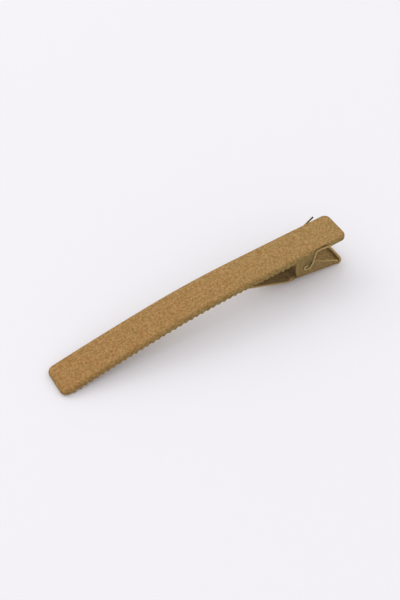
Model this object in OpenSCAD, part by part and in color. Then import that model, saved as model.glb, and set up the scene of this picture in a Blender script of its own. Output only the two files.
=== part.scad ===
// Flat metal hair clip: a toothed upper jaw, a cranked lower jaw and one wire spring that is
// also the hinge pin. All three are covered with the same thin flock, which the wall sizes include.
// The clip lies closed on a table. X runs from the tip to the press tabs, Y across, Z up,
// and the origin is on the table under the middle of the clip.

/* [Clip] */
// Length of the closed clip, from the tip to the rear end of the press tabs
clip_len = 75; // [70:1:90]
// Width of the upper jaw
strip_w = 8.4; // [8:0.1:9]
// Wall of the upper jaw with its coating
upper_wall = 0.6; // [0.5:0.05:0.7]
// Wall of the lower jaw with its coating
lower_wall = 0.55; // [0.45:0.05:0.65]

/* [Upper jaw] */
// Slope of the upper jaw at its tip, in degrees
nose_angle = 13.3; // [11:0.1:15]
// Length of the gently bowed front stretch
front_len = 24.5; // [20:0.5:30]
// Angle through which the front stretch bows, in degrees
front_bow = 2.8; // [1.5:0.1:4]
// Length of the more strongly bowed middle stretch
mid_len = 22; // [18:0.5:26]
// Angle through which the middle stretch bows, in degrees
mid_bow = 7.6; // [6:0.1:9]
// Radius of the corners of the strip, seen from above
corner_r = 1.6; // [1.2:0.1:2.2]
// Radius of the bend between the top face and a side flange
shoulder_r = 0.7; // [0.6:0.05:0.9]
// Depth of the side flanges below the top face, down to the roots of the teeth
flange_root = 1.3; // [1.1:0.05:1.5]

/* [Teeth] */
// Distance from one tooth to the next
tooth_pitch = 1.45; // [1.2:0.05:1.8]
// Height of a tooth below its root
tooth_h = 0.35; // [0.3:0.05:0.6]
// Width of the blunt end of a tooth
tooth_land = 0.3; // [0.15:0.05:0.4]
// Distance from the tip of the clip to the first tooth
teeth_start = 2.7; // [2.6:0.05:4]

/* [Hinge] */
// Distance of the hinge axis from the rear end, along the upper jaw
pivot_back = 11.15; // [10.5:0.05:12]
// Distance of the hinge axis below the top face
pivot_drop = 3.94; // [3.7:0.02:4.1]
// Reach of an upper ear in front of the hinge axis
ear_front = 3; // [2.6:0.1:3.4]
// Reach of an upper ear behind the hinge axis
ear_rear = 1.7; // [1.6:0.1:2]
// Reach of an upper ear below the hinge axis
ear_below = 2.1; // [1.8:0.1:2.4]
// Radius of the lower corners of an upper ear
ear_corner = 0.9; // [0.5:0.1:1.2]
// Radius of a lower ear round the hinge axis
inner_ear_r = 2.2; // [1.8:0.1:2.4]
// Radial clearance of the wire in the ear holes
hole_clear = 0.05; // [0.03:0.01:0.08]
// Depth of the notch behind an upper ear, in from the side
notch_in = 0.3; // [0.25:0.05:0.4]
// Length of the notch behind an upper ear
notch_len = 4.2; // [4.1:0.1:4.6]

/* [Lower jaw] */
// Gap between the prong and the toothed flange on each side
prong_gap = 0.25; // [0.15:0.01:0.5]
// Gap between the ears of the two jaws on each side
ear_gap = 0.1; // [0.05:0.01:0.2]
// Distance from the tip of the clip to the tip of the prong
prong_start = 1.5; // [1.3:0.1:2]
// Gap between the closed jaws where they meet at the tip
touch_gap = 0.04; // [0.02:0.01:0.1]
// Angle by which the closed jaws draw apart behind the tip, in degrees
prong_gap_angle = 1.2; // [0.9:0.1:1.4]
// Distance from the rear end at which the prong ends and the crank begins
crank_back = 28.4; // [27:0.1:30]
// Slope of the crank, in degrees
crank_angle = 22.3; // [21:0.1:25]
// Radius of the bend from the prong into the crank, on its top face
crank_r = 4; // [3:0.1:5]
// Slope of the press tray, in degrees
tray_angle = 7.8; // [6.5:0.1:8.5]
// Radius of the bend from the crank into the press tray, on its top face
kink_r = 8; // [6:0.5:10]
// Height of the press tray's side walls above the table at their rear ends
tray_wall_h = 1.4; // [1.2:0.1:2]
// Height of the side walls above the table where they leave the ears
tray_shoulder_h = 5.2; // [4.9:0.1:5.4]
// Distance behind the hinge axis at which the side walls have that height
shoulder_back = 2.7; // [2.4:0.1:3]
// Distance from the rear end at which the side walls have come down to their rear height
wall_low_at = 1.1; // [0.9:0.1:1.6]
// Height of the rear lip above the table
lip_h = 1.75; // [1.5:0.05:2.1]
// Radius of the bends of the press tray, on their inner faces
tray_bend_r = 0.35; // [0.3:0.05:0.5]

/* [Spring] */
// Diameter of the spring wire with its coating
wire_d = 0.42; // [0.38:0.01:0.46]
// Radius of the spring's bends at the middle of the wire
wire_bend_r = 0.4; // [0.36:0.01:0.42]
// Radius of the hook that the wire makes round the hinge axis
hook_r = 0.87; // [0.85:0.01:1]
// Distance from the hinge axis to the bridge that presses on the tray
bridge_reach = 6.6; // [6:0.1:7]
// Distance of the inner arms from the lower ears
inner_arm_gap = 0.45; // [0.35:0.05:0.6]
// Length of the far leg under the edge of the press tab
leg_len = 5.3; // [4.9:0.1:5.6]
// Share of that length that the near leg has
near_leg_share = 0.67; // [0.55:0.01:1]
// Length of a leg that lies under the edge of the plate before the leg turns out
leg_straight = 1.5; // [1.2:0.1:1.6]
// Distance by which the tip of the far leg stands out past the side of the clip
leg_out = 0.85; // [0.8:0.05:1]
// Rise of the far leg from its seat to its tip
leg_rise = 0.7; // [0.6:0.05:1]
// Clearance of the spring where it lies against a jaw
seat_gap = 0.04; // [0.03:0.01:0.06]

/* [Hidden] */

flock = [0.68, 0.52, 0.31];
shade = [0.60, 0.46, 0.28];
wire_tint = [0.72, 0.57, 0.36];

// Facets of round shapes, and the steps in which bows, bends and edges are drawn
$fn = 48;
front_steps = 5;
mid_steps = 10;
bend_steps = 8;
corner_step = 15;
shoulder_step = 18;

// Overrun of a cut past the faces that it goes through
cut = 1;
// Distance by which the ears and teeth stay inside the faces of the flange that carries them
flush = hole_clear / 4;
// Height past every solid of the clip, for walls that are trimmed to an outline
tall = 2 * strip_w;

// Side view of the upper jaw's top face: a short straight nose, two bows and a straight rear
function rad(angle) = angle * PI / 180;
front_r = front_len / rad(front_bow);
mid_r = mid_len / rad(mid_bow);
mid_angle = nose_angle - front_bow;
tail_angle = mid_angle - mid_bow;

function along(angle) = [cos(angle), sin(angle)];
function below(angle) = [sin(angle), -cos(angle)];
// End of an arc that starts at p with a slope and bends down, or up where the bend is negative
function arc_end(p, slope, r, bend) =
    p + sign(bend) * r * [sin(slope) - sin(slope - bend), cos(slope - bend) - cos(slope)];

// The rounded rim at the tip stands on the table, and its foremost point is the end of the clip
shoulder_angles = [90:-shoulder_step:0];
nose_reach = shoulder_r * min([for (a = shoulder_angles)
    (1 - cos(a)) * cos(nose_angle) + (1 - sin(a)) * sin(nose_angle)]);
nose_p = [-nose_reach, flange_root * cos(nose_angle)];
front_p = nose_p + corner_r * along(nose_angle);
mid_p = arc_end(front_p, nose_angle, front_r, front_bow);
tail_p = arc_end(mid_p, mid_angle, mid_r, mid_bow);
tail_len = (clip_len - tail_p.x - flange_root * sin(tail_angle)) / cos(tail_angle);
mid_station = corner_r + front_len;
tail_station = mid_station + mid_len;

function station_angle(s) =
    s <= corner_r ? nose_angle
    : s <= mid_station ? nose_angle - front_bow * (s - corner_r) / front_len
    : s <= tail_station ? mid_angle - mid_bow * (s - mid_station) / mid_len
    : tail_angle;
function station_top(s) =
    s <= corner_r ? nose_p + s * along(nose_angle)
    : s <= mid_station ? arc_end(front_p, nose_angle, front_r, nose_angle - station_angle(s))
    : s <= tail_station ? arc_end(mid_p, mid_angle, mid_r, mid_angle - station_angle(s))
    : tail_p + (s - tail_station) * along(tail_angle);
// Point at a distance s along the top face and at a depth below it
function station_point(s, depth) = station_top(s) + depth * below(station_angle(s));

// Widths and lengths of the lower jaw that follow from the upper one
prong_w = strip_w - 2 * (upper_wall + prong_gap);
tray_w = strip_w - 2 * (upper_wall + ear_gap);
crank_start = clip_len - crank_back;

// Hinge axis, along the straight rear of the upper jaw and in side view
pivot_at = tail_len - pivot_back;
pivot = tail_p + pivot_at * along(tail_angle) + pivot_drop * below(tail_angle);
hole_r = wire_d / 2 + hole_clear;
ear_begin = pivot_at - ear_front;
ear_end = pivot_at + ear_rear;
notch_end = ear_end + notch_len;

notch_from = tail_station + ear_end;
notch_to = tail_station + notch_end;
// The ends of the flanges lean a little at the notch
notch_lean = notch_in / 3;
jaw_len = tail_station + tail_len;

// Row of teeth, up to the front edge of the ear
teeth_room = tail_station + ear_begin - teeth_start - tooth_pitch / 2;
tooth_count = floor(teeth_room / tooth_pitch) + 1;

// Side view of the lower jaw's top face: prong, crank bend, crank, kink, tray and lip
prong_slope = station_angle(prong_start) - prong_gap_angle;
prong_p = station_point(prong_start, upper_wall + touch_gap);
prong_mid_p = arc_end(prong_p, prong_slope, front_r, station_angle(prong_start) - mid_angle);
prong_mid_slope = mid_angle - prong_gap_angle;
prong_bow = mid_bow * (crank_start - mid_station) / mid_len;
crank_p = arc_end(prong_mid_p, prong_mid_slope, mid_r, prong_bow);
crank_slope = prong_mid_slope - prong_bow;
crank_bend = crank_slope + crank_angle;
crank_line_p = arc_end(crank_p, crank_slope, crank_r, crank_bend);
tray_end = [clip_len - tray_bend_r * (1 + sin(tray_angle)) - lower_wall,
            lower_wall + tray_bend_r * (1 - cos(tray_angle))];
kink_bend = crank_angle - tray_angle;
kink_cut = kink_r * tan(kink_bend / 2);
// The crank is as long as it takes to meet the line of the tray
crank_drop = crank_line_p.y - tray_end.y - (tray_end.x - crank_line_p.x) * tan(tray_angle);
crank_len = crank_drop / (sin(crank_angle) - cos(crank_angle) * tan(tray_angle)) - kink_cut;
kink_p = crank_line_p + crank_len * along(-crank_angle);
tray_p = arc_end(kink_p, -crank_angle, kink_r, -kink_bend);
tray_len = (tray_end.x - tray_p.x) / cos(tray_angle);
lip_bend = 90 + tray_angle;
lip_p = arc_end(tray_end, -tray_angle, tray_bend_r, -lip_bend);

// Half widths across the hinge, from the inside out
inner_ear_y = tray_w / 2 - lower_wall;
outer_ear_y = strip_w / 2;
wire_r = wire_d / 2;
arm_y = inner_ear_y - inner_arm_gap - wire_r;
hook_y = outer_ear_y + seat_gap + wire_r;

// Bridge of the spring on the floor of the tray
floor_above = wire_r + seat_gap;
bridge_lift = tray_end.y + floor_above / cos(tray_angle) - pivot.y;
bridge_slope = asin((bridge_lift + (tray_end.x - pivot.x) * tan(tray_angle)) * cos(tray_angle)
                    / bridge_reach) - tray_angle;
bridge_p = pivot + bridge_reach * along(bridge_slope);

// Seat of a leg under the notched edge of the upper jaw, and the end of the leg
seat_at = ear_end + wire_r + hole_clear + notch_in * 2;
seat_p = tail_p + seat_at * along(tail_angle)
       + (upper_wall + wire_r + seat_gap) * below(tail_angle);
seat_y = outer_ear_y - notch_in + wire_r / 2;
arm_top_p = tail_p + (ear_end + wire_r) * along(tail_angle)
          + (upper_wall + wire_r + notch_in) * below(tail_angle);

// Corners of one half of the spring from the middle of the bridge to the end of its leg.
// The hook is drawn in multiples of its radius round the hinge axis.
function side(p, y) = [p.x, -y, p.y];
hook_shares = [[-1.5, 0.7], [-0.98, -0.94], [0.53, -1.04], [1.5, 0.35]];
kick_p = seat_p + leg_straight * along(tail_angle);
kick_reach = leg_len - leg_straight;
kick_rise = leg_rise - leg_straight * sin(tail_angle);
function half_corners(leg_share) =
    let (share = (leg_share * leg_len - leg_straight) / kick_reach)
    concat(
        [side(bridge_p, 0), side(bridge_p, arm_y), side(pivot, arm_y), side(pivot, hook_y)],
        [for (h = hook_shares) side(pivot + hook_r * h, hook_y)],
        [side(arm_top_p, hook_y), side(seat_p, seat_y), side(kick_p, seat_y),
         side(kick_p + share * [kick_reach, kick_rise],
              seat_y + share * (outer_ear_y + leg_out - seat_y))]);
function mirrored(p) = [p.x, -p.y, p.z];
near_half = half_corners(near_leg_share);
far_half = [for (p = half_corners(1)) mirrored(p)];
corner_n = len(near_half);
spring_corners = concat([for (i = [corner_n - 1:-1:1]) far_half[i]],
                        [for (i = [1:corner_n - 1]) near_half[i]]);

// Each corner of the wire becomes an arc of the bend radius, in steps of equal angle
bend_step = 24;
function unit(v) = v / norm(v);
function turn(a, b) = acos(max(-1, min(1, unit(a) * unit(b))));
function rounded_corner(before, corner, after, r) =
    let (a = unit(corner - before), b = unit(after - corner), t = turn(a, b),
         reach = r * tan(t / 2), start = corner - reach * a,
         across = unit(b - (a * b) * a), n = max(1, ceil(t / bend_step)))
    [for (i = [0:n]) start + r * sin(t * i / n) * a + r * (1 - cos(t * i / n)) * across];
spring_path = concat(
    [spring_corners[0]],
    [for (i = [1:len(spring_corners) - 2])
        each rounded_corner(spring_corners[i - 1], spring_corners[i], spring_corners[i + 1],
                            wire_bend_r)],
    [spring_corners[len(spring_corners) - 1]]);

// Least gap of the wire to itself, between points that lie further apart along the wire than
// three of its diameters
path_n = len(spring_path);
function lengths(i) = i == 0 ? [0]
    : let (l = lengths(i - 1)) concat(l, [l[i - 1] + norm(spring_path[i] - spring_path[i - 1])]);
run = lengths(path_n - 1);
least_gap = min([for (i = [0:path_n - 2]) for (j = [i + 1:path_n - 1])
                 if (run[j] - run[i] > 3 * wire_d) norm(spring_path[i] - spring_path[j])]) - wire_d;
echo(least_gap_of_the_spring_to_itself = least_gap);

// Rings of the wire: the direction across the wire is carried along from ring to ring
wire_sides = 8;
tube_r = wire_r - hole_clear / 4;
function tangent(path, i) =
    i == 0 ? unit(path[1] - path[0])
    : i == len(path) - 1 ? unit(path[i] - path[i - 1])
    : unit(unit(path[i + 1] - path[i]) + unit(path[i] - path[i - 1]));
function carried(across, t) = unit(across - (across * t) * t);
function carried_all(path, i, across) =
    let (u = carried(across, tangent(path, i)))
    i == len(path) - 1 ? [u] : concat([u], carried_all(path, i + 1, u));
function ring(p, t, u) = let (v = cross(t, u))
    [for (k = [0:wire_sides - 1])
        p + tube_r * (cos(360 * k / wire_sides) * u + sin(360 * k / wire_sides) * v)];

// Faces of a polyhedron between two pairs of points, clockwise seen from outside
function two_faces(a, b, c, d) = [[a, b, c], [a, c, d]];

// One half of the plan of the upper jaw, from its middle out, drawn in by an inset. Each point is
// [distance from the tip, distance from the middle].
corner_steps = [for (a = [0:corner_step:90]) a];
bow_stations = concat([for (i = [1:front_steps]) corner_r + front_len * i / front_steps],
                      [for (i = [1:mid_steps]) mid_station + mid_len * i / mid_steps]);
function plan_row(inset, widened) =
    let (r = corner_r - inset, y = strip_w / 2 - corner_r, n = len(corner_steps))
    concat([for (a = corner_steps) [corner_r - r * cos(a), y + r * sin(a)]],
           [for (s = bow_stations) [s, y + r]],
           widened ? [[notch_from, y + r], [notch_from + notch_lean, y + r + cut],
                      [notch_to - notch_lean, y + r + cut], [notch_to, y + r]] : [],
           [for (i = [n - 1:-1:0])
               [jaw_len - corner_r + r * cos(corner_steps[i]), y + r * sin(corner_steps[i])]]);

// Block over a plan, bent along the bow of the upper jaw. A level is [depth, inset].
module bowed_block(levels, widened = false) {
    rows = [for (l = levels) plan_row(l[1], widened)];
    n = len(rows[0]);
    function placed(p, depth, s) =
        let (q = station_point(p[0], depth)) [q.x, s * p[1], q.y];
    points = [for (i = [0:len(levels) - 1])
        each concat([for (j = [0:n - 1]) placed(rows[i][j], levels[i][0], -1)],
                    [for (j = [n - 1:-1:0]) placed(rows[i][j], levels[i][0], 1)])];
    skin = [for (i = [0:len(levels) - 2]) for (j = [0:2 * n - 1])
        let (k = (j + 1) % (2 * n), u = 2 * n * i)
        each two_faces(u + j, u + k, u + 2 * n + k, u + 2 * n + j)];
    last = 2 * n * (len(levels) - 1);
    caps = [for (j = [0:n - 2])
        each concat(two_faces(j, 2 * n - 1 - j, 2 * n - 2 - j, j + 1),
                    two_faces(last + j, last + j + 1, last + 2 * n - 2 - j,
                              last + 2 * n - 1 - j))];
    polyhedron(points, concat(skin, caps), convexity = 10);
}

// A side view drawn as [x, z] becomes a plate between two distances from the middle
module side_plate(from_y, to_y) {
    translate([0, to_y, 0]) rotate([90, 0, 0]) linear_extrude(height = to_y - from_y) children();
}

module both_sides() {
    children();
    mirror([0, 1, 0]) children();
}

module hinge_bore(w) {
    translate([pivot.x, w / 2 + cut, pivot.y]) rotate([90, 0, 0])
        cylinder(r = hole_r, h = w + 2 * cut);
}

// Side view of one flange with its teeth, root lands and ear
module flange_outline() {
    inside = (flange_root + shoulder_r) / 2;
    valley = (flange_root + inside) / 2;
    teeth = [for (i = [0:tooth_count - 1]) let (s = teeth_start + i * tooth_pitch)
        each [station_point(s - tooth_land / 2, flange_root + tooth_h),
              station_point(s + tooth_land / 2, flange_root + tooth_h),
              station_point(s + tooth_pitch / 2, valley)]];
    low = pivot_drop + ear_below - ear_corner;
    from = tail_station + ear_begin;
    to = tail_station + ear_end;
    ear = concat(
        [station_point(from, inside)],
        [for (a = corner_steps) station_point(from + ear_corner * (1 - cos(a)),
                                              low + ear_corner * sin(a))],
        [for (a = corner_steps) station_point(to - ear_corner * (1 - sin(a)),
                                              low + ear_corner * cos(a))],
        [station_point(to, inside)]);
    upper = [for (s = concat([tail_station], [for (i = [len(bow_stations) - 2:-1:0])
                                              bow_stations[i]]))
        station_point(s, inside)];
    polygon(concat([station_point(teeth_start - tooth_pitch / 2, inside)], teeth, ear, upper));
}

module upper_jaw() {
    shoulder = [for (a = shoulder_angles)
        [shoulder_r * (1 - sin(a)), shoulder_r * (1 - cos(a))]];
    color(flock) difference() {
        union() {
            difference() {
                bowed_block(concat(shoulder, [[flange_root, 0]]));
                bowed_block([[upper_wall, upper_wall], [flange_root + cut, upper_wall]], true);
            }
            both_sides() side_plate(strip_w / 2 - upper_wall + flush, strip_w / 2 - flush)
                flange_outline();
        }
        // The plate is a little narrower between the ears and the press tab
        both_sides() side_plate(strip_w / 2 - notch_in, strip_w / 2 + cut)
            polygon([station_point(notch_from + notch_in, -cut),
                     station_point(notch_to - notch_in, -cut),
                     station_point(notch_to - notch_in, flange_root + cut),
                     station_point(notch_from + notch_in, flange_root + cut)]);
        hinge_bore(strip_w);
    }
}

// Stations of the lower jaw's top face in side view: [point, slope]
function arc_stations(p, slope, r, bend, n) =
    [for (i = [1:n]) [arc_end(p, slope, r, bend * i / n), slope - bend * i / n]];
lower_line = concat(
    [[prong_p, prong_slope]],
    arc_stations(prong_p, prong_slope, front_r, station_angle(prong_start) - mid_angle,
                 front_steps),
    arc_stations(prong_mid_p, prong_mid_slope, mid_r, prong_bow, mid_steps),
    arc_stations(crank_p, crank_slope, crank_r, crank_bend, bend_steps),
    [[kink_p, -crank_angle]],
    arc_stations(kink_p, -crank_angle, kink_r, -kink_bend, bend_steps),
    [[tray_end, -tray_angle]],
    arc_stations(tray_end, -tray_angle, tray_bend_r, -lip_bend, bend_steps),
    [[[lip_p.x, lip_h], 90]]);

module lower_strip() {
    n = len(lower_line);
    polygon(concat([for (q = lower_line) q[0]],
                   [for (i = [n - 1:-1:0])
                       lower_line[i][0] + lower_wall * below(lower_line[i][1])]));
}

// Side view of a side wall of the lower jaw: ear, sloped shoulder and low rear wall
module wall_outline() {
    polygon([tray_p + lower_wall * below(-tray_angle), tray_end + lower_wall * below(-tray_angle),
             [tray_end.x, tray_wall_h], [clip_len - wall_low_at, tray_wall_h],
             [pivot.x + shoulder_back, tray_shoulder_h], [pivot.x + inner_ear_r, pivot.y], pivot,
             [pivot.x - inner_ear_r, pivot.y], [pivot.x - inner_ear_r, tray_shoulder_h / 2],
             tray_p]);
    translate(pivot) circle(inner_ear_r);
}

// What is cut from a lower edge of the tray to round it, drawn as [height, distance from middle]
module edge_cut() {
    r = tray_bend_r + lower_wall;
    slack = hole_clear / 4;
    difference() {
        translate([-cut, tray_w / 2 - r]) square(r + cut);
        translate([r, tray_w / 2 - r]) circle(r + slack, $fn = 12);
    }
}

module lower_jaw() {
    bottom = tray_end + lower_wall * below(-tray_angle);
    color(shade) difference() {
        union() {
            side_plate(-prong_w / 2, prong_w / 2) lower_strip();
            both_sides() side_plate(inner_ear_y, tray_w / 2) wall_outline();
        }
        both_sides() translate([bottom.x, 0, bottom.y]) rotate([0, tray_angle, 0])
            translate([-clip_len / 4, 0, 0]) rotate([180, -90, 0])
            linear_extrude(height = clip_len / 4 + cut) edge_cut();
        // Round corners of the prong's tip and of the rear lip
        both_sides() translate([prong_p.x, prong_w / 2, -cut]) linear_extrude(height = tall)
            difference() {
                translate([-cut, -corner_r]) square([corner_r + cut, corner_r + cut]);
                translate([corner_r, -corner_r]) circle(corner_r);
            }
        both_sides() translate([clip_len + cut, prong_w / 2, lip_h]) rotate([0, -90, 0])
            linear_extrude(height = 2 * cut) difference() {
                translate([-corner_r / 2, -corner_r / 2]) square(corner_r / 2 + cut);
                translate([-corner_r / 2, -corner_r / 2]) circle(corner_r / 2);
            }
        hinge_bore(tray_w);
    }
}

module spring() {
    rings = let (first = [0, 0, 1], ups = carried_all(spring_path, 0, first))
        [for (i = [0:path_n - 1]) ring(spring_path[i], tangent(spring_path, i), ups[i])];
    points = [for (r = rings) each r];
    caps = [[for (k = [0:wire_sides - 1]) k],
            [for (k = [wire_sides - 1:-1:0]) (path_n - 1) * wire_sides + k]];
    skin = [for (i = [0:path_n - 2]) for (k = [0:wire_sides - 1])
        let (a = i * wire_sides + k, b = i * wire_sides + (k + 1) % wire_sides)
        each [[a, a + wire_sides, b], [b, a + wire_sides, b + wire_sides]]];
    color(wire_tint) {
        polyhedron(points, concat(caps, skin), convexity = 10);
        // The stretches that turn in the ear holes are round
        both_sides() translate([pivot.x, hook_y - wire_bend_r, pivot.y]) rotate([90, 0, 0])
            cylinder(r = wire_r, h = hook_y - arm_y - 2 * wire_bend_r);
    }
}

translate([-clip_len / 2, 0, 0]) {
    upper_jaw();
    lower_jaw();
    spring();
}
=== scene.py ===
# %% [markdown]
# # A flocked hair clip
# The clip is made of three pieces: an upper jaw with toothed sides, a lower jaw that lies inside
# it and ends in a small tray for the thumb, and one bent wire that is both hinge pin and spring.
# All three are covered with the same short brown flock.
# The imported model gives the exact places. The jaws are stampings, so they are modelled here as
# they are made: a flat blank of sheet, edges turned down or up, a wall thickness, and last the bow.

# %% Load the imported model
from itertools import accumulate
from math import asin, ceil, cos, degrees, floor, pi, radians, sin, tan
import bmesh
import bpy
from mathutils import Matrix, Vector


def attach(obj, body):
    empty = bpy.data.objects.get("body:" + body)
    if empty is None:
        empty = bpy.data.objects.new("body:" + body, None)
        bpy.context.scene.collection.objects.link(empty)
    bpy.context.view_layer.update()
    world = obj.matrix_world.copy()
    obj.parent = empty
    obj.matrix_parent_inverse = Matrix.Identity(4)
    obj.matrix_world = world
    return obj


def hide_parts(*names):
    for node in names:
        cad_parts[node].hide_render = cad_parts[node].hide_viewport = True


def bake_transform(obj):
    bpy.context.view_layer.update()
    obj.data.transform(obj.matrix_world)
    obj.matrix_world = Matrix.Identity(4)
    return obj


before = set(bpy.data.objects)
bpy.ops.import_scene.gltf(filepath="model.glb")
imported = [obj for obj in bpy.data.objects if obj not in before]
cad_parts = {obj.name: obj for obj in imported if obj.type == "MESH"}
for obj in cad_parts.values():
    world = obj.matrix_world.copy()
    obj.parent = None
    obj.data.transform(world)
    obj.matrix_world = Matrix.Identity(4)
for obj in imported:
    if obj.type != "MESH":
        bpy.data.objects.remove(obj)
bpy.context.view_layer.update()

MM = 0.001
print("nodes:", sorted(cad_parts))

# %% [markdown]
# ## The view
# The photograph looks down at the clip from behind its near side, at about 50 degrees. The place,
# the direction and the focal length were solved from the outline of the clip in the photograph,
# so the render and the photograph can be compared pixel by pixel.

# %% The camera
eye = Vector((-0.07794, -0.12696, 0.18083))
looking = Vector((0.33800, 0.55287, -0.76163))
bpy.ops.object.camera_add(location=eye)
camera = bpy.context.object
camera.name = "photo_camera"
camera.rotation_mode = "QUATERNION"
camera.rotation_quaternion = looking.to_track_quat("-Z", "Y")
camera.data.sensor_fit = "VERTICAL"
camera.data.sensor_height = 36
camera.data.lens = 60.87
camera.data.clip_start = 0.005
bpy.context.scene.camera = camera
print("camera looks down by", round(degrees(asin(-looking.z)), 1), "degrees")

# %% [markdown]
# ## The side view of a jaw
# A jaw is a strip of sheet that bends only in its side view, so it could be bent by hand there,
# point after point. It is surer to write the side view down once, as a run of straight stretches
# and bends. A point of the flat blank is given by its distance along the jaw and its height over
# the sheet, and the run says where that point comes to lie once the sheet is bent. All sizes are
# those of the model, in millimetres and degrees.

# %% Side view: points along a run of stretches and bends
def along(angle):
    return Vector((cos(radians(angle)), sin(radians(angle))))


def below(angle):
    return Vector((sin(radians(angle)), -cos(radians(angle))))


def bent(start, angle, length, bend):
    """End of a stretch that bends down by an angle, or up where the angle is negative."""
    if bend == 0:
        return start + length * along(angle)
    r = length / radians(bend)
    return start + r * Vector((sin(radians(angle)) - sin(radians(angle - bend)),
                               cos(radians(angle - bend)) - cos(radians(angle))))


def run_point(run, distance, height=0):
    """Place in the side view of a point of the blank. Past its end the last stretch goes on."""
    place, angle = run["start"], run["angle"]
    for i, (length, bend) in enumerate(run["stretches"]):
        if distance <= length or i == len(run["stretches"]) - 1:
            turned = bend * (distance / length)
            return bent(place, angle, distance, turned) - height * below(angle - turned)
        place = bent(place, angle, length, bend)
        angle -= bend
        distance -= length


# %% The run of the upper jaw
clip_len, strip_w, upper_wall, lower_wall = 75, 8.4, 0.6, 0.55
nose_angle, front_len, front_bow, mid_len, mid_bow = 13.3, 24.5, 2.8, 22, 7.6
corner_r, shoulder_r, shoulder_steps, flange_root = 1.6, 0.7, 5, 1.3
pivot_back, pivot_drop = 11.15, 3.94
mid_angle = nose_angle - front_bow
tail_angle = mid_angle - mid_bow
# The run starts where face and rim would meet at the nose if the shoulder weren't round. That
# corner lies a little before x = 0, so that the shoulder's foremost point is at 0, and so high
# that the full depth of the rim ends at z = 0
shoulder_angles = [radians(90 / shoulder_steps * i) for i in range(shoulder_steps + 1)]
nose_reach = shoulder_r * min((1 - cos(a)) * cos(radians(nose_angle))
                              + (1 - sin(a)) * sin(radians(nose_angle)) for a in shoulder_angles)
nose_p = Vector((-nose_reach, flange_root * cos(radians(nose_angle))))
front_p = nose_p + corner_r * along(nose_angle)
mid_p = bent(front_p, nose_angle, front_len, front_bow)
tail_p = bent(mid_p, mid_angle, mid_len, mid_bow)
# At the tail the lower edge of the rim reaches farthest back, to the full length
tail_reach = clip_len - tail_p.x - flange_root * sin(radians(tail_angle))
tail_len = tail_reach / cos(radians(tail_angle))
mid_station, tail_station = corner_r + front_len, corner_r + front_len + mid_len
jaw_len = tail_station + tail_len
upper_run = {"start": nose_p, "angle": nose_angle,
             "stretches": [(corner_r, 0), (front_len, front_bow), (mid_len, mid_bow),
                           (tail_len, 0)]}
pivot_at = tail_len - pivot_back
pivot = run_point(upper_run, tail_station + pivot_at, -pivot_drop)
print("upper jaw %.2f mm along its face, hinge at x %.3f z %.3f mm" % (jaw_len, pivot.x, pivot.y))

# %% The run of the lower jaw: the prong and the bend into the crank
prong_start, touch_gap, prong_gap_angle = 1.5, 0.04, 1.2
crank_back, crank_angle, crank_r = 28.4, 22.3, 4
# The tip of the prong all but touches the inside of the upper jaw. From there the prong bends as
# the upper jaw does, but is tilted away from it by a small angle
front_r, mid_r = front_len / radians(front_bow), mid_len / radians(mid_bow)
start_angle = nose_angle if prong_start < corner_r else mid_angle
prong_slope = start_angle - prong_gap_angle
prong_p = run_point(upper_run, prong_start, -(upper_wall + touch_gap))
prong_front_bend = start_angle - mid_angle
prong_bow = mid_bow * (clip_len - crank_back - mid_station) / mid_len
crank_slope = mid_angle - prong_gap_angle - prong_bow
crank_bend = crank_slope + crank_angle
prong_mid_p = bent(prong_p, prong_slope, front_r * radians(prong_front_bend), prong_front_bend)
crank_p = bent(prong_mid_p, mid_angle - prong_gap_angle, mid_r * radians(prong_bow), prong_bow)
crank_line_p = bent(crank_p, crank_slope, crank_r * radians(crank_bend), crank_bend)
print("the prong passes into the crank at x %.2f z %.2f mm" % tuple(crank_p))

# %% The run of the lower jaw: the crank, the tray and its lip
tray_angle, kink_r, tray_bend_r, lip_h = 7.8, 8, 0.35, 1.75
# The bend of the lip rests on z = 0, and the outside of the lip is at the full length
tray_end = Vector((clip_len - tray_bend_r * (1 + sin(radians(tray_angle))) - lower_wall,
                   lower_wall + tray_bend_r * (1 - cos(radians(tray_angle)))))
kink_bend = crank_angle - tray_angle
# The crank runs down to the line of the tray's floor, less what the round kink between them takes
crank_drop = crank_line_p.y - tray_end.y - (tray_end.x - crank_line_p.x) * tan(radians(tray_angle))
crank_fall = sin(radians(crank_angle)) - cos(radians(crank_angle)) * tan(radians(tray_angle))
crank_len = crank_drop / crank_fall - kink_r * tan(radians(kink_bend / 2))
kink_p = crank_line_p + crank_len * along(-crank_angle)
tray_p = bent(kink_p, -crank_angle, kink_r * radians(kink_bend), -kink_bend)
tray_len = (tray_end.x - tray_p.x) / cos(radians(tray_angle))
lip_bend = 90 + tray_angle
lip_p = bent(tray_end, -tray_angle, tray_bend_r * radians(lip_bend), -lip_bend)
lower_run = {"start": prong_p, "angle": prong_slope,
             "stretches": [(front_r * radians(prong_front_bend), prong_front_bend),
                           (mid_r * radians(prong_bow), prong_bow),
                           (crank_r * radians(crank_bend), crank_bend), (crank_len, 0),
                           (kink_r * radians(kink_bend), -kink_bend), (tray_len, 0),
                           (tray_bend_r * radians(lip_bend), -lip_bend), (lip_h - lip_p.y, 0)]}
front_end, prong_end, crank_from, crank_to, tray_from, tray_to, lip_from, lower_len = accumulate(
    length for length, bend in lower_run["stretches"])
print("lower jaw %.2f mm along its face, its tray from %.2f mm on" % (lower_len, tray_from))

# %% [markdown]
# ## Tools for sheet metal
# Sheet is worked on in edit mode: some edges or faces are chosen, and one operator shapes them.
# By hand they are clicked. In a script their indices change with every cut, so they are chosen by
# their place instead, which stays right when a size is changed.

# %% Choose parts of a mesh in edit mode, by their place
def leave_all():
    """Object mode, with nothing selected."""
    if bpy.context.object and bpy.context.object.mode != "OBJECT":
        bpy.ops.object.mode_set(mode="OBJECT")
    bpy.ops.object.select_all(action="DESELECT")


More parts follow.
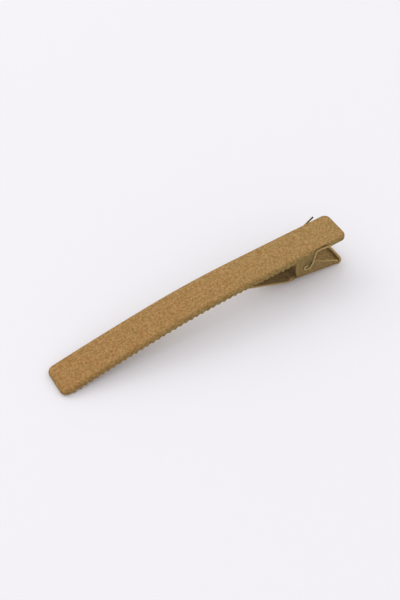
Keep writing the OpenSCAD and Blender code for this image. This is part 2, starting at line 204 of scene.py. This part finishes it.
def pick(obj):
    leave_all()
    obj.select_set(True)
    bpy.context.view_layer.objects.active = obj


def work_on(obj):
    pick(obj)
    bpy.ops.object.mode_set(mode="EDIT")


def centre(part):
    """Middle of a vertex, an edge or a face."""
    points = [part] if hasattr(part, "co") else list(part.verts)
    return sum((v.co for v in points), Vector()) / len(points)


def choose(kind, test):
    """Selects vertices, edges or faces: the test gets the place in mm and the part itself."""
    bpy.ops.mesh.select_mode(type=kind)
    bpy.ops.mesh.select_all(action="DESELECT")
    mesh = bmesh.from_edit_mesh(bpy.context.edit_object.data)
    chosen = 0
    for part in {"VERT": mesh.verts, "EDGE": mesh.edges, "FACE": mesh.faces}[kind]:
        if test(centre(part) / MM, part):
            part.select_set(True)
            chosen += 1
    mesh.select_flush_mode()
    bmesh.update_edit_mesh(bpy.context.edit_object.data)
    return chosen


def near(value, goals, within=0.004):
    return any(abs(value - goal) < within for goal in goals)


# %% A blank of sheet, straight cuts across it, and one way for its faces
# What lies past a place by less than the slack, in mm, counts as there
slack, corner_steps = 0.01, 6


def blank(name, length, width, height):
    """A flat rectangle of sheet that starts at x = 0, as a mesh with its place in its points."""
    leave_all()
    bpy.ops.mesh.primitive_plane_add(size=1, location=(length / 2 * MM, 0, height * MM))
    obj = bpy.context.object
    obj.name = obj.data.name = name
    obj.scale = (length * MM, width * MM, 1)
    bpy.ops.object.transform_apply(location=True, rotation=True, scale=True)
    # One material slot for the finish of the sheet, and one for its cut edges, which get a painted
    # highlight
    obj.data.materials.append(None)
    obj.data.materials.append(None)
    work_on(obj)
    print(name, "blank %.2f by %.2f mm" % (length, width))
    return obj


def round_corners(radius):
    """Rounds the chosen points, which are corners in the outline of a sheet."""
    bpy.ops.mesh.bevel(offset=radius * MM, segments=corner_steps, affect="VERTICES",
                       clamp_overlap=False)


def cut_across(stations):
    """Cuts the blank across, straight through, at each distance from its tip."""
    for station in stations:
        bpy.ops.mesh.select_all(action="SELECT")
        bpy.ops.mesh.bisect(plane_co=(station * MM, 0, 0), plane_no=(1, 0, 0), threshold=1e-7)


def turn_faces(obj, upward):
    """Makes the faces of an open sheet agree, and turns them all up or all down."""
    bpy.ops.mesh.select_all(action="SELECT")
    bpy.ops.mesh.normals_make_consistent(inside=False)
    faces = bmesh.from_edit_mesh(obj.data).faces
    if (sum(f.calc_area() * f.normal.z for f in faces) > 0) != upward:
        bpy.ops.mesh.flip_normals()
    leave_all()


# %% Thickness, bow and a last measure
def apply_modifier(obj, name, kind, **settings):
    modifier = obj.modifiers.new(name, kind)
    for setting, value in settings.items():
        setattr(modifier, setting, value)
    pick(obj)
    bpy.ops.object.modifier_apply(modifier=name)


def thicken(obj, wall):
    """Gives the sheet its wall, on the side away from its faces. Its rim is a cut edge."""
    # The rim takes the second material, the painted highlight of the cut edges
    apply_modifier(obj, "wall", "SOLIDIFY", thickness=wall * MM, offset=-1, use_even_offset=True,
                   material_offset_rim=1)


def bend_along(obj, run):
    """Lays the flat piece on its run in the side view, and brings it into the frame."""
    for v in obj.data.vertices:
        place = run_point(run, v.co.x / MM, v.co.z / MM)
        v.co = ((place.x - clip_len / 2) * MM, v.co.y, place.y * MM)
    obj.data.update()


def report(obj):
    low = [min(v.co[i] for v in obj.data.vertices) / MM for i in range(3)]
    high = [max(v.co[i] for v in obj.data.vertices) / MM for i in range(3)]
    mesh = bmesh.new()
    mesh.from_mesh(obj.data)
    open_edges = sum(len(e.link_faces) != 2 for e in mesh.edges)
    print(obj.name, len(obj.data.polygons), "faces, from", [round(c, 2) for c in low], "to",
          [round(c, 2) for c in high], "mm, open edges:", open_edges, "volume",
          round(mesh.calc_volume() / MM ** 3, 1), "mm3")
    mesh.free()


# %% [markdown]
# ## The upper jaw: the blank
# On the real clip this is a strip of sheet whose rim is turned down all round. Teeth are stamped
# into the lower edge of its two long sides, and two ears on them hold the hinge. It could be a
# box with its inside cut out, but then the rounded shoulder would have to be cut as well. A
# blank with a turned rim gets the shoulder from one bevel, as the press gives it.

# %% Where the teeth, the ear and the notch are
tooth_pitch, tooth_h, tooth_land, teeth_start = 1.45, 0.35, 0.3, 2.7
ear_front, ear_rear, ear_below, ear_corner = 3, 1.7, 2.1, 0.9
notch_in, notch_len, nose_lift = 0.3, 4.2, 0.35
toothed_len = tail_station + pivot_at - ear_front - teeth_start - tooth_pitch / 2
tooth_count = floor(toothed_len / tooth_pitch) + 1
teeth = [teeth_start + i * tooth_pitch for i in range(tooth_count)]
# From the tips, the flanks of two teeth run towards each other up to this depth. The straight
# edge of the rim lies lower, so they stop there before they meet
valley = (3 * flange_root + shoulder_r) / 4
flank_share = tooth_h / (tooth_h + flange_root - valley)
root_half = tooth_land / 2 + (tooth_pitch - tooth_land) / 2 * flank_share
tips = [s + side * tooth_land / 2 for s in teeth for side in (-1, 1)]
roots = [s + side * root_half for s in teeth for side in (-1, 1)]
ear_from = tail_station + pivot_at - ear_front
ear_to = tail_station + pivot_at + ear_rear
notch_to = ear_to + notch_len
print(tooth_count, "teeth a side, ear from %.2f to %.2f mm" % (ear_from, ear_to))

# %% A flat blank with round corners, cut across at every tooth and bend
upper = blank("upper_jaw_flock", jaw_len, strip_w, 0)
bpy.ops.mesh.select_all(action="SELECT")
round_corners(corner_r)
cut_across(sorted(tips + roots + [corner_r, mid_station, tail_station, ear_from, ear_to,
                                  ear_to + notch_in, notch_to - notch_in, notch_to]))
print(len(bmesh.from_edit_mesh(upper.data).faces), "strips")

# %% The rim is turned down, and its corner becomes the rounded shoulder
def on_corner(p, e):
    """An edge of the top face at which the turned-down rim begins."""
    return abs(p.z) < slack and any(abs(f.normal.z) < 0.5 for f in e.link_faces)


rim = choose("EDGE", lambda p, e: e.is_boundary)
bpy.ops.mesh.extrude_region_move(TRANSFORM_OT_translate={"value": (0, 0, -flange_root * MM)})
corner = choose("EDGE", on_corner)
bpy.ops.mesh.bevel(offset=shoulder_r * MM, segments=shoulder_steps, affect="EDGES",
                   clamp_overlap=False)
print(rim, "edges turned down,", corner, "edges rounded")

# %% [markdown]
# ## The upper jaw: teeth, ears and notch
# The press cuts teeth, ears and notch out of the rim before it turns it. Here the rim is there
# already, so the teeth and ears are drawn out of its lower edge, and the notch is taken out of it.
# Cutting them with booleans would work too, but it would leave long thin triangles that shade badly.

# %% Teeth are pulled down from the lower edge, and the nose is raised a little
def on_side_rim(p):
    """On the lower edge of one of the two long sides."""
    return p.z < -valley and abs(p.y) > strip_w / 2 - slack


corners = choose("VERT", lambda p, v: on_side_rim(p) and near(p.x, tips))
bpy.ops.transform.translate(value=(0, 0, -tooth_h * MM))
print(corners // 2, "teeth on both sides")
# Round the nose the press leaves the rim a little less deep, in two steps
for reach in (corner_r + slack, corner_r / 2):
    raised = choose("VERT", lambda p, v: p.z < -flange_root + nose_lift and p.x < reach)
    bpy.ops.transform.translate(value=(0, 0, nose_lift / 2 * MM))
    print(raised, "points of the nose raised")

# %% The ears are drawn out of the lower edge, and their lower corners rounded
ear_low = pivot_drop + ear_below
choose("EDGE", lambda p, e: on_side_rim(p) and ear_from < p.x < ear_to)
bpy.ops.mesh.extrude_region_move(
    TRANSFORM_OT_translate={"value": (0, 0, (flange_root - ear_low) * MM)})
corners = choose("VERT", lambda p, v: p.z < -ear_low + slack)
round_corners(ear_corner)
print(corners, "corners of the ears rounded,", round(ear_low, 2), "mm below the top face")

# %% Behind each ear the rim is left out and the plate is a little narrower
notch_y = strip_w / 2 - notch_in
rim = choose("FACE", lambda p, f: ear_to < p.x < notch_to and p.z < -shoulder_r
             and abs(p.y) > notch_y)
bpy.ops.mesh.delete(type="FACE")
plate = choose("FACE", lambda p, f: ear_to + notch_in < p.x < notch_to - notch_in
               and abs(p.y) > notch_y)
bpy.ops.mesh.delete(type="FACE")
turn_faces(upper, upward=True)
print(rim, "faces of the rim and", plate, "of the shoulder taken out")

# %% The wall gets its thickness, and the jaw its bow
thicken(upper, upper_wall)
bend_along(upper, upper_run)
report(upper)

# %% [markdown]
# ## The lower jaw
# The lower jaw is a second strip. Its front half, the prong, lies between the toothed sides. Then
# it cranks down, and behind the crank its edges are turned up into two ears and the low walls of
# the press tray, and its end into a lip. The walls could be extruded straight up, but a folded
# sheet has a round lower edge. So the blank is drawn by its lower face, and a spin sweeps the
# walls up from the floor's edges by a quarter turn.

# %% Half widths, and a place in the tray's side view
prong_gap, ear_gap = 0.25, 0.1
prong_half = strip_w / 2 - upper_wall - prong_gap
tray_half = strip_w / 2 - upper_wall - ear_gap
edge_r = tray_bend_r + lower_wall


def tray_place(point):
    """Distance along the blank and height over the floor of a point in the tray's side view."""
    away = point - tray_p
    return tray_from + away.dot(along(-tray_angle)), -away.dot(below(-tray_angle))


print("half width of the prong %.2f mm, of the tray %.2f mm" % (prong_half, tray_half))

# %% The outline of a wall: up in front, round the hinge, and down to the rear
inner_ear_r, ear_step, tray_shoulder_h, tray_wall_h = 2.2, 15, 5.2, 1.4
shoulder_back, wall_low_at = 2.7, 1.1
foot_h = tray_shoulder_h / 2
ear_round = [pivot + inner_ear_r * Vector((-cos(radians(a)), sin(radians(a))))
             for a in range(0, 181, ear_step)]
wall_top = [tray_place(Vector(p)) for p in
            [(pivot.x - inner_ear_r, foot_h)] + ear_round
            + [(pivot.x + shoulder_back, tray_shoulder_h), (clip_len - wall_low_at, tray_wall_h),
               (tray_end.x, tray_wall_h)]]
# The floor is cut across under each point of the outline
foot_from = tray_place(Vector((pivot.x - inner_ear_r, foot_h)))[0]
foot_to = tray_place(Vector((pivot.x + inner_ear_r, foot_h)))[0]
behind_ear, before_lip = 0.8, 0.15
wall_foot = [foot_from + (foot_to - foot_from) * i / len(ear_round)
             for i in range(len(ear_round) + 1)]
wall_foot += [foot_to + behind_ear, tray_to - before_lip, tray_to]
print(len(wall_top), "points on a wall's outline,", len(wall_foot), "cuts under it")

# %% The blank of the lower jaw, cut across at its bends and along the tray
def steps(start, end, count):
    return [start + (end - start) * i / count for i in range(1, count + 1)]


lower = blank("lower_jaw_flock", lower_len, 2 * prong_half, -lower_wall)
choose("VERT", lambda p, v: p.x < slack)
round_corners(corner_r)
choose("VERT", lambda p, v: p.x > lower_len - slack)
round_corners(corner_r / 2)
# A stretch gets the more cuts the more it bends
cut_across(steps(corner_r, front_end, 4) + steps(front_end, prong_end, 8)
           + steps(prong_end, crank_from, 8) + steps(crank_from, crank_to, 3)
           + steps(crank_to, tray_from, 6) + wall_foot + steps(tray_to, lip_from, 8))
print(len(bmesh.from_edit_mesh(lower.data).faces), "strips")

# %% The floor's edges are swept up by a quarter turn and drawn out to the walls
fold_steps = 5
for side in (-1, 1):
    choose("VERT", lambda p, v: near(p.x, wall_foot) and abs(p.y * side - prong_half) < slack)
    bpy.ops.transform.translate(value=(0, side * (tray_half - edge_r - prong_half) * MM, 0))
    choose("EDGE", lambda p, e: e.is_boundary and p.y * side > prong_half / 2
           and tray_from < p.x < tray_to)
    bpy.ops.mesh.spin(steps=fold_steps, angle=-side * pi / 2, axis=(1, 0, 0),
                      center=(0, side * (tray_half - edge_r) * MM, (edge_r - lower_wall) * MM))
    bpy.ops.mesh.extrude_region_move(TRANSFORM_OT_translate={"value": (0, 0, MM)})
    wall = sorted((v for v in bmesh.from_edit_mesh(lower.data).verts if v.select),
                  key=lambda v: v.co.x)
    # The first point stays on the crank, and the others go to the wall's outline
    for v, (distance, height) in zip(wall[1:], wall_top):
        v.co = (distance * MM, side * tray_half * MM, height * MM)
    bmesh.update_edit_mesh(lower.data)
    # In front the wall runs out to nothing at the edge of the crank
    choose("VERT", lambda p, v: near(p.x, [tray_from]) and p.y * side > prong_half / 2)
    for v in bmesh.from_edit_mesh(lower.data).verts:
        if v.select:
            v.co = (tray_from * MM, side * prong_half * MM, -lower_wall * MM)
    bmesh.update_edit_mesh(lower.data)
    print("wall with", len(wall), "points, at y", round(side * tray_half, 2))

# %% The lower jaw gets its wall and its bends
bpy.ops.mesh.select_all(action="SELECT")
bpy.ops.mesh.remove_doubles(threshold=1e-6)
turn_faces(lower, upward=False)
thicken(lower, lower_wall)
bend_along(lower, lower_run)
report(lower)

# %% [markdown]
# ## The hinge holes and the cut edges
# The wire turns in four small holes, one in each ear. Four circles could be cut one by one. A
# round cutter that reaches right across the clip, used on both jaws at the same place, keeps all
# four in line, as one drill through both jaws would. Flock piles up on an edge and rounds it, so
# every sharp edge gets a small bevel, with the paler finish of the cut edges, a painted highlight.

# %% Drill the ears and round the cut edges
wire_d, hole_clear, edge_round = 0.42, 0.05, 0.14
sharp, creased = radians(32), radians(40)
for jaw in (upper, lower):
    leave_all()
    bpy.ops.mesh.primitive_cylinder_add(vertices=32, radius=(wire_d / 2 + hole_clear) * MM,
                                        depth=2 * strip_w * MM, rotation=(pi / 2, 0, 0),
                                        location=((pivot.x - clip_len / 2) * MM, 0, pivot.y * MM))
    drill = bpy.context.object
    apply_modifier(jaw, "hinge_holes", "BOOLEAN", object=drill, operation="DIFFERENCE",
                   solver="EXACT")
    bpy.data.objects.remove(drill)
    # The bevels take the second material, the painted highlight of the cut edges
    apply_modifier(jaw, "soft_edges", "BEVEL", width=edge_round * MM, segments=2,
                   limit_method="ANGLE", angle_limit=sharp, harden_normals=False, material=1)
    pick(jaw)
    bpy.ops.object.shade_smooth_by_angle(angle=creased)
    report(jaw)

# %% [markdown]
# ## The spring
# One wire makes hinge pin and spring. From the middle of the bridge on the tray's floor it runs
# forward inside the ears, turns out through the holes, hooks round below the hinge, rises
# behind the ear and ends as a leg under the edge of the press tab. It could be a curve
# with a round bevel. Here the ring of a circle is drawn along its way as a wire bender does
# it, a straight pull for each stretch and a spin for each bend, so every bend is a true arc.

# %% The bridge on the tray's floor
inner_arm_gap, seat_gap, bridge_reach = 0.45, 0.04, 6.6
wire_r = wire_d / 2
arm_y = tray_half - lower_wall - inner_arm_gap - wire_r
hook_y = strip_w / 2 + seat_gap + wire_r
# Its two arms swing the bridge about the hinge, down to just over the sloping floor
bridge_lift = tray_end.y + (wire_r + seat_gap) / cos(radians(tray_angle)) - pivot.y
bridge_slope = degrees(asin((bridge_lift + (tray_end.x - pivot.x) * tan(radians(tray_angle)))
                            * cos(radians(tray_angle)) / bridge_reach)) - tray_angle
bridge_p = pivot + bridge_reach * along(bridge_slope)
print("the bridge lies at x %.2f z %.2f mm" % tuple(bridge_p))

# %% The hooks, and the legs under the edge of the press tab
hook_r, wire_bend_r, leg_len, near_leg_share = 0.87, 0.4, 5.3, 0.67
leg_straight, leg_out, leg_rise = 1.5, 0.85, 0.7
# Corners of the hook, in multiples of its radius round the hinge
hook_shares = [(-1.5, 0.7), (-0.98, -0.94), (0.53, -1.04), (1.5, 0.35)]
# A leg is seated under the edge of the plate where the notch makes it narrower. It runs straight
# on along the tab, and then kicks out and up to its tip
seat_at = pivot_at + ear_rear + wire_r + hole_clear + notch_in * 2
seat_p = run_point(upper_run, tail_station + seat_at, -(upper_wall + wire_r + seat_gap))
seat_y = strip_w / 2 - notch_in + wire_r / 2
arm_top_p = run_point(upper_run, tail_station + pivot_at + ear_rear + wire_r,
                      -(upper_wall + wire_r + notch_in))
kick_p = seat_p + leg_straight * along(tail_angle)
kick_reach = leg_len - leg_straight
kick_rise = leg_rise - leg_straight * sin(radians(tail_angle))
print("the legs are seated at x %.2f z %.2f mm" % tuple(seat_p))

# %% Corners of the wire, from the tip of the far leg to the tip of the near one
def half_corners(leg_share):
    """Corners of one half, from the bridge to the end of the leg, on the near side."""
    out = (leg_share * leg_len - leg_straight) / kick_reach
    end = kick_p + out * Vector((kick_reach, kick_rise))
    side_view = ([(bridge_p, arm_y), (pivot, arm_y), (pivot, hook_y)]
                 + [(pivot + hook_r * Vector(h), hook_y) for h in hook_shares]
                 + [(arm_top_p, hook_y), (seat_p, seat_y), (kick_p, seat_y),
                    (end, seat_y + out * (strip_w / 2 + leg_out - seat_y))])
    return [Vector(((p.x - clip_len / 2) * MM, -y * MM, p.y * MM)) for p, y in side_view]


far_half = [Vector((p.x, -p.y, p.z)) for p in half_corners(1)]
wire_corners = far_half[::-1] + half_corners(near_leg_share)
print(len(wire_corners), "corners, far leg ends at", [round(c / MM, 2) for c in wire_corners[0]])

# %% Draw the ring along the wire: a pull for each stretch, a spin for each bend
wire_sides, bend_step = 16, 11
first_way = (wire_corners[1] - wire_corners[0]).normalized()
leave_all()
bpy.ops.mesh.primitive_circle_add(vertices=wire_sides, radius=wire_r * MM, location=wire_corners[0],
                                  rotation=first_way.to_track_quat("Z", "Y").to_euler())
spring = bpy.context.object
spring.name = spring.data.name = "spring_flock"
bpy.ops.object.transform_apply(location=True, rotation=True, scale=True)
work_on(spring)
bpy.ops.mesh.select_all(action="SELECT")
at, off_track = wire_corners[0], 0
for before, corner, after in zip(wire_corners, wire_corners[1:], wire_corners[2:]):
    way, next_way = (corner - before).normalized(), (after - corner).normalized()
    turn = way.angle(next_way)
    reach = wire_bend_r * MM * tan(turn / 2)
    bend_from = corner - way * reach
    bpy.ops.mesh.extrude_region_move(TRANSFORM_OT_translate={"value": bend_from - at})
    inward = (next_way - way * way.dot(next_way)).normalized()
    bpy.ops.mesh.spin(steps=max(2, ceil(degrees(turn) / bend_step)), angle=-turn,
                      axis=way.cross(next_way).normalized(),
                      center=bend_from + inward * wire_bend_r * MM)
    at = corner + next_way * reach
    ring = [v.co for v in bmesh.from_edit_mesh(spring.data).verts if v.select]
    off_track = max(off_track, (sum(ring, Vector()) / len(ring) - at).length)
bpy.ops.mesh.extrude_region_move(TRANSFORM_OT_translate={"value": wire_corners[-1] - at})
print("the ring is at most %.5f mm off its track" % (off_track / MM))

# %% Close the two ends of the wire and round them a little
end_inset, end_round, end_crease = 0.06, 0.05, radians(50)


def on_end_edge(p, e):
    """The sharp edge between the side of the wire and the face of its end."""
    return (all(len(f.verts) < wire_sides for f in e.link_faces)
            and e.calc_face_angle(0) > end_crease)


bpy.ops.mesh.select_all(action="SELECT")
bpy.ops.mesh.remove_doubles(threshold=1e-7)
choose("EDGE", lambda p, e: e.is_boundary)
bpy.ops.mesh.edge_face_add()
ends = choose("FACE", lambda p, f: len(f.verts) == wire_sides)
bpy.ops.mesh.inset(thickness=end_inset * MM)
choose("EDGE", on_end_edge)
bpy.ops.mesh.bevel(offset=end_round * MM, segments=2, affect="EDGES")
bpy.ops.mesh.select_all(action="SELECT")
bpy.ops.mesh.normals_make_consistent(inside=False)
pick(spring)
bpy.ops.object.shade_smooth_by_angle(angle=end_crease)
print(ends, "ends closed")
report(spring)

# %% [markdown]
# ## Where the flock differs
# The coat isn't the same all over: less flock falls on the upright sides, which look olive, and
# they are darkened with painted shade; the press tab fades as it is handled; and painted shade
# darkens a few places that lie in shade. The material could work that out from coordinates, but
# such a pattern would slide over the spring as it bends. So each point of a mesh gets a value
# between 0 and 1 by its place at rest, like a mask painted on it, and the material reads it.

# %% Marks on the meshes: upright, faded and painted shade
def mark(obj, name, value_at):
    """Writes a value between 0 and 1 at each vertex, from its place on the clip in mm."""
    values = obj.data.attributes.new(name, "FLOAT", "POINT").data
    for v in obj.data.vertices:
        place = v.co / MM + Vector((clip_len / 2, 0, 0))
        values[v.index].value = min(1, max(0, value_at(place, v)))
    print(obj.name, name, "%.2f on average" % (sum(m.value for m in values) / len(values)))


def off_hinge(p):
    return (Vector((p.x, p.z)) - pivot).length


# Upright is 0 on top and 1 on the turned-down sides, and comes in early on the round shoulder.
# Faded grows from the nose of the upper jaw to its press tab, and is even on the other two
# The upright mark gives the sides their olive tint and their painted shade
for piece in (upper, lower, spring):
    mark(piece, "upright", lambda p, v: (1 - abs(v.normal.z)) ** 0.5)
    mark(piece, "faded", lambda p, v: p.x / clip_len if piece is upper else 0.5)
# Painted shade: the tip of the far leg, which is turned away from the light, the front of the lower
# jaw, which lies under the upper jaw, more on its top than below, and the ears close to the hinge
shade_on_top, shade_below, shade_at_hinge, shade_fall = 0.4, 0.15, 0.36, 0.08
mark(spring, "painted_shade", lambda p, v: (p.y - strip_w / 2) / leg_out * 2 if p.x > seat_p.x else 0)
mark(lower, "painted_shade", lambda p, v: (min(1, (pivot.x - p.x) / inner_ear_r)
                                  * (shade_on_top if v.normal.z > 0 else shade_below)))
mark(upper, "painted_shade", lambda p, v: shade_at_hinge - shade_fall * off_hinge(p))

# %% [markdown]
# ## The flock
# Flock is short nylon fibre, shot end-on into a coat of glue. It gives a matt, suede-like
# skin: no mirror light at all, a soft bright rim where the fibres are seen from the side, and
# a fine grain where they lie in small tufts that lean different ways. Hair particles could make
# the fibres, but at 0.02 mm each they would be millions. Noise at the size of tufts and fibres
# gives the same grain, and sheen gives the bright rim.

# %% Colours and nodes
def hex_colour(text):
    """An sRGB colour, written as on a colour chart, as the linear values that Blender takes."""
    parts = [int(text[i:i + 2], 16) / 255 for i in (1, 3, 5)]
    return tuple(c / 12.92 if c <= 0.04045 else ((c + 0.055) / 1.055) ** 2.4 for c in parts) + (1,)


def add_node(tree, kind, values=None, links=None, **settings):
    """Adds one node with its settings, the values of its sockets and the links into them."""
    node = tree.nodes.new(kind)
    for setting, value in settings.items():
        setattr(node, setting, value)
    for socket, value in (values or {}).items():
        node.inputs[socket].default_value = value
    for socket, source in (links or {}).items():
        tree.links.new(source, node.inputs[socket])
    return node


def per_mm(size):
    """Noise scale for grains of a size in millimetres."""
    return 1 / (size * MM)


# %% Tufts, fibres and dye
def pile_colour(tree, place, fibres, shades):
    """Colour of the coat. The shades run from the gaps between the tufts to the fibres' tips."""
    # Tufts of about half a millimetre, coarse enough to show at arm's length
    tufts = add_node(tree, "ShaderNodeTexNoise",
                     {"Scale": per_mm(0.55), "Detail": 3, "Roughness": 0.6}, {"Vector": place})
    pile = add_node(tree, "ShaderNodeMix", {0: 0.4},
                    {2: tufts.outputs["Fac"], 3: fibres.outputs["Fac"]})
    ramp = add_node(tree, "ShaderNodeValToRGB", links={"Fac": pile.outputs[0]})
    stops = ramp.color_ramp.elements
    stops[0].position, stops[0].color = 0.37, hex_colour(shades[0])
    stops[1].position, stops[1].color = 0.63, hex_colour(shades[2])
    middle = stops.new(0.5)
    middle.color = hex_colour(shades[1])
    # Patches of a millimetre or more lean to orange or to olive, as the dye of the fibres varies,
    # and where the flock has faded it has lost a little of its red
    dye = add_node(tree, "ShaderNodeTexNoise",
                   {"Scale": per_mm(1.4), "Detail": 1, "Roughness": 0.5}, {"Vector": place})
    faded = add_node(tree, "ShaderNodeAttribute", attribute_name="faded")
    drift = add_node(tree, "ShaderNodeMix", {0: 0.35},
                     {2: dye.outputs["Fac"], 3: faded.outputs["Fac"]})
    lean = add_node(tree, "ShaderNodeMix", {6: hex_colour("#ffeee4"), 7: hex_colour("#eaffff")},
                    {0: drift.outputs[0]}, data_type="RGBA")
    dyed = add_node(tree, "ShaderNodeMix", {0: 1}, {6: ramp.outputs["Color"], 7: lean.outputs[2]},
                    data_type="RGBA", blend_type="MULTIPLY")
    return dyed.outputs[2]


# %% Olive tint and painted shade of the upright sides, and painted shade in places
def marked_colour(tree, colour, flank):
    """The colour where the marks of the mesh change it. The flank is the tint of the upright
    sides, where less flock falls and the glue shows olive through it; it also darkens them with
    painted shade."""
    upright = add_node(tree, "ShaderNodeAttribute", attribute_name="upright")
    olive_and_shaded_sides = add_node(tree, "ShaderNodeMix", {7: hex_colour(flank)},
                      {0: upright.outputs["Fac"], 6: colour},
                      data_type="RGBA", blend_type="MULTIPLY")
    # Painted shade: where the mark is set, the colour goes towards a dark brown that stands for
    # shade
    dark_of_painted_shade = "#33291f"
    painted_shade = add_node(tree, "ShaderNodeAttribute", attribute_name="painted_shade")
    shaded_places = add_node(tree, "ShaderNodeMix", {7: hex_colour(dark_of_painted_shade)},
                      {0: painted_shade.outputs["Fac"], 6: olive_and_shaded_sides.outputs[2]}, data_type="RGBA")
    return shaded_places.outputs[2]


# %% Nylon flock, electrostatically applied: matt, with a grain and a soft rim of light
def flock(name, shades, sheen, flank):
    material = bpy.data.materials.new(name)
    material.use_nodes = True
    tree = material.node_tree
    skin = tree.nodes["Principled BSDF"]
    place = add_node(tree, "ShaderNodeTexCoord").outputs["Object"]
    # Fibres are 0.02 mm thick: drawn as grains of 0.13 mm, the finest that a close view can show
    fibres = add_node(tree, "ShaderNodeTexNoise",
                      {"Scale": per_mm(0.13), "Detail": 2, "Roughness": 0.6}, {"Vector": place})
    colour = marked_colour(tree, pile_colour(tree, place, fibres, shades), flank)
    tree.links.new(colour, skin.inputs["Base Color"])
    relief = add_node(tree, "ShaderNodeBump", {"Strength": 0.7, "Distance": 0.06 * MM},
                      {"Height": fibres.outputs["Fac"]})
    tree.links.new(relief.outputs["Normal"], skin.inputs["Normal"])
    skin.inputs["Roughness"].default_value = 0.95
    skin.inputs["Specular IOR Level"].default_value = 0.15
    skin.inputs["Sheen Weight"].default_value = sheen
    skin.inputs["Sheen Roughness"].default_value = 0.5
    skin.inputs["Sheen Tint"].default_value = hex_colour("#e8cf9a")
    print(name, "with", len(tree.nodes), "nodes")
    return material


# %% The four coats
# The last colour of a coat tints its upright sides olive and darkens them with painted shade
# The outside of the upper jaw has the full, warm brown coat
brown_flock = flock("brown_nylon_flock", ("#8f6636", "#a7804e", "#c09768"), 0.15, "#d2dfd8")
# The lower jaw lies inside the clip, mostly in shade: its coat is a duller, greyer copy of the
# brown, as painted shade
shaded_copy_flock = flock("brown_nylon_flock_painted_shade", ("#826840", "#9f8153", "#bb9b6b"), 0.1, "#d6d4ce")
# On a cut edge the coat is a paler copy of the brown, a painted highlight, and has the brightest rim
cut_edge_highlight_flock = flock("flock_on_cut_edges_painted_highlight", ("#96794a", "#ab8d5c", "#c0a273"), 0.3, "#ffffff")
# The thin wire has a paler copy of the brown as well, a painted highlight
wire_flock = flock("flock_on_wire_painted_highlight", ("#94794b", "#aa8f5f", "#c2a878"), 0.25, "#ffffff")
for jaw, material in ((upper, brown_flock), (lower, shaded_copy_flock)):
    jaw.data.materials[0], jaw.data.materials[1] = material, cut_edge_highlight_flock
spring.data.materials.append(wire_flock)
for piece in (upper, lower, spring):
    print(piece.name, [m.name for m in piece.data.materials])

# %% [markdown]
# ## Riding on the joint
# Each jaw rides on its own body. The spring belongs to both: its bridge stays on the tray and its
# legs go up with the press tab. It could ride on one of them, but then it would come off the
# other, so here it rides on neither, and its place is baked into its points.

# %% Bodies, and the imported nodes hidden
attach(upper, "upper")
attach(lower, "lower")
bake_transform(spring)
for piece, node, finish in ((upper, "upper_jaw", "upper_flock"), (lower, "lower_jaw", "lower_flock"),
                            (spring, "spring", "wire_flock")):
    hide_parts(node)
    print(piece.name, "stands for", node)

# %% [markdown]
# ## Floor and light
# A white table, and one wide light far behind and to the left, as daylight from a window. The
# pale room all round is the world's colour. Two or three lamps would show the form more strongly,
# but one window and a bright room give the single soft shadow to the front.

# %% A plain white floor
leave_all()
bpy.ops.mesh.primitive_plane_add(size=3, location=(0, 0, 0))
floor_piece = bpy.context.object
floor_piece.name = "floor"
white = bpy.data.materials.new("matt_white_table")
white.use_nodes = True
table = white.node_tree.nodes["Principled BSDF"]
table.inputs["Base Color"].default_value = hex_colour("#ebe9ea")
table.inputs["Roughness"].default_value = 0.9
table.inputs["Specular IOR Level"].default_value = 0.1
floor_piece.data.materials.append(white)
print("floor", round(floor_piece.dimensions.x, 1), "m wide")

# %% Window light and room light
def window(name, place, size, power):
    bpy.ops.object.light_add(type="AREA", location=place)
    lamp = bpy.context.object
    lamp.name = name
    lamp.data.shape = "RECTANGLE"
    lamp.data.size, lamp.data.size_y = size
    lamp.data.energy = power
    lamp.rotation_mode = "QUATERNION"
    lamp.rotation_quaternion = (-Vector(place)).to_track_quat("-Z", "Y")
    print(name, round(Vector(place).length, 2), "m away,", power, "W")


window("window_behind", (-0.8, 1.8, 1.4), (2.0, 1.6), 16)
room = bpy.data.worlds.new("pale_room")
bpy.context.scene.world = room
room.use_nodes = True
sky = room.node_tree.nodes["Background"]
sky.inputs["Color"].default_value = hex_colour("#fafafe")
sky.inputs["Strength"].default_value = 1.0
bpy.context.scene.view_settings.view_transform = "Standard"
